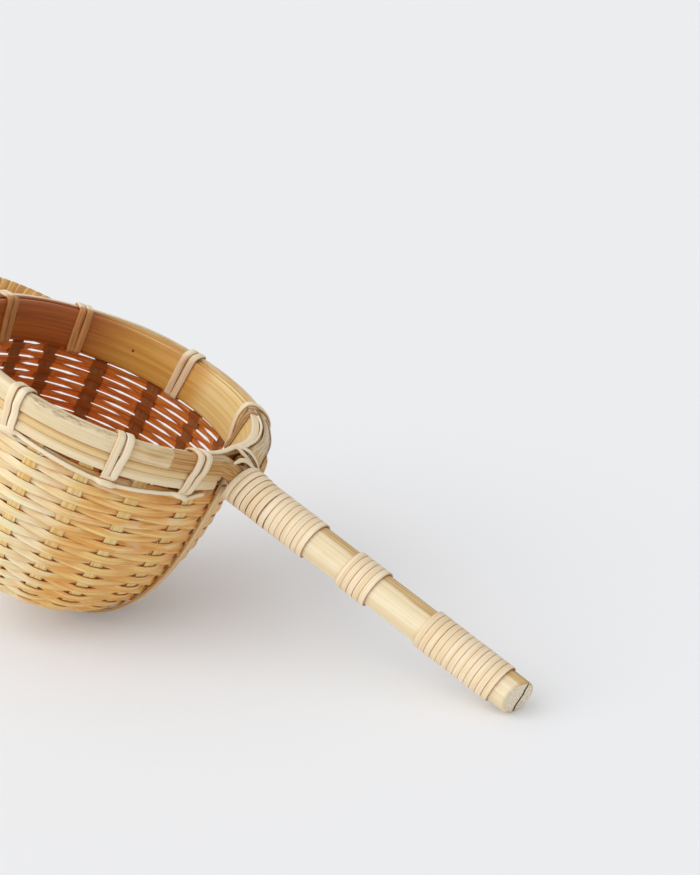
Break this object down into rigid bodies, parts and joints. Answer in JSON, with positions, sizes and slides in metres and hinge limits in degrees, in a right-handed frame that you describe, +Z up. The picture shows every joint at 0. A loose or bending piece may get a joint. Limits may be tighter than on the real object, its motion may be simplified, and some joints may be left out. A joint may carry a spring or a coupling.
{
  "type": "bamboo tea strainer",
  "caption": "Deep woven bamboo tea strainer with a lashed rim, a rattan-bound two-part handle and a small wrapped ear, lying on its bowl and handle tip.",
  "frame": {"origin": "middle of the outline, on the surface that the strainer lies on", "axes": "+Z up, +X from the ear towards the tip of the handle, +Y across the bowl"},
  "size_m": [0.1634, 0.0802, 0.0794],
  "materials": {
    "rib": "satin",
    "weaver": "satin",
    "inner_hoop": "satin",
    "lath": "satin",
    "outer_hoop": "satin",
    "rattan": "satin",
    "ear": "satin"
  },
  "bodies": {
    "root": {"rib_along_1": "rib", "rib_along_2": "rib", "rib_along_3": "rib", "rib_along_4": "rib", "rib_along_5": "rib", "rib_across_1": "rib", "rib_across_2": "rib", "rib_across_3": "rib", "rib_across_4": "rib", "weaver_1": "weaver", "weaver_2": "weaver", "weaver_3": "weaver", "weaver_4": "weaver", "weaver_5": "weaver", "weaver_6": "weaver", "inner_hoop": "inner_hoop", "handle_hoop": "lath", "outer_hoop_middle": "outer_hoop", "outer_hoop_lower": "outer_hoop", "rim_binding": "rattan", "joint_binding": "rattan", "handle_wrap_bowl": "rattan", "handle_wrap_middle": "rattan", "handle_wrap_end": "rattan", "ear_core": "ear", "ear_wrap": "rattan", "under_strap": "lath"}
  },
  "joints": []
}
